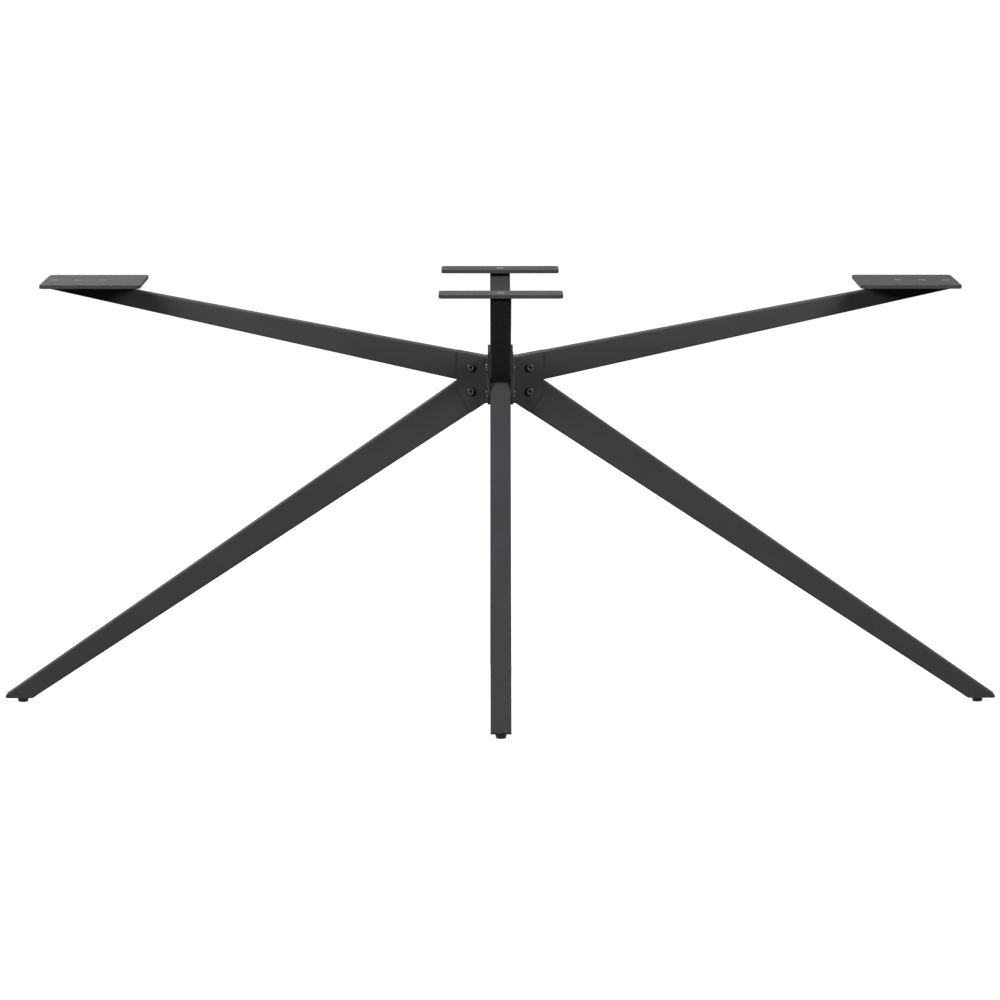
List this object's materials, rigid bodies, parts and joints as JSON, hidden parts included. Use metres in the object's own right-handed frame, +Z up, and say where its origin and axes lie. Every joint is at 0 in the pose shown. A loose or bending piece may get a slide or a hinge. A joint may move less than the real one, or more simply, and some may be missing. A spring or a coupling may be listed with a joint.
{
  "type": "table base",
  "caption": "Star-shaped steel table base: tapered upper arms with flat top plates and splayed lower legs, bolted together by corner brackets at a raised hub.",
  "frame": {"origin": "on the floor, under the middle of the hub", "axes": "+Z up, +X along the longer pair of arms and legs, +Y along the shorter pair"},
  "size_m": [1.6612, 0.698, 0.71],
  "materials": {
    "powder_coat": "matt anthracite powder coat with a fine grain",
    "blackened_steel": "blackened steel, semi-gloss",
    "zinc_steel": "bright zinc plate",
    "black_plastic": "smooth black moulded plastic"
  },
  "bodies": {
    "root": {"right_arm": "powder_coat", "right_leg": "powder_coat", "right_top_plate": "powder_coat", "right_arm_block": "powder_coat", "right_sole_plate": "powder_coat", "right_glide": "black_plastic", "right_plate_screws": "blackened_steel", "right_hub_screws": "blackened_steel", "right_hub_sleeves": "zinc_steel", "left_arm": "powder_coat", "left_leg": "powder_coat", "left_top_plate": "powder_coat", "left_arm_block": "powder_coat", "left_sole_plate": "powder_coat", "left_glide": "black_plastic", "left_plate_screws": "blackened_steel", "left_hub_screws": "blackened_steel", "left_hub_sleeves": "zinc_steel", "rear_arm": "powder_coat", "rear_leg": "powder_coat", "rear_top_plate": "powder_coat", "rear_arm_block": "powder_coat", "rear_sole_plate": "powder_coat", "rear_glide": "black_plastic", "rear_plate_screws": "blackened_steel", "rear_hub_screws": "blackened_steel", "rear_hub_sleeves": "zinc_steel", "front_arm": "powder_coat", "front_leg": "powder_coat", "front_top_plate": "powder_coat", "front_arm_block": "powder_coat", "front_sole_plate": "powder_coat", "front_glide": "black_plastic", "front_plate_screws": "blackened_steel", "front_hub_screws": "blackened_steel", "front_hub_sleeves": "zinc_steel", "rear_right_bracket": "powder_coat", "front_left_bracket": "powder_coat", "front_right_bracket": "powder_coat", "rear_left_bracket": "powder_coat"}
  },
  "joints": []
}
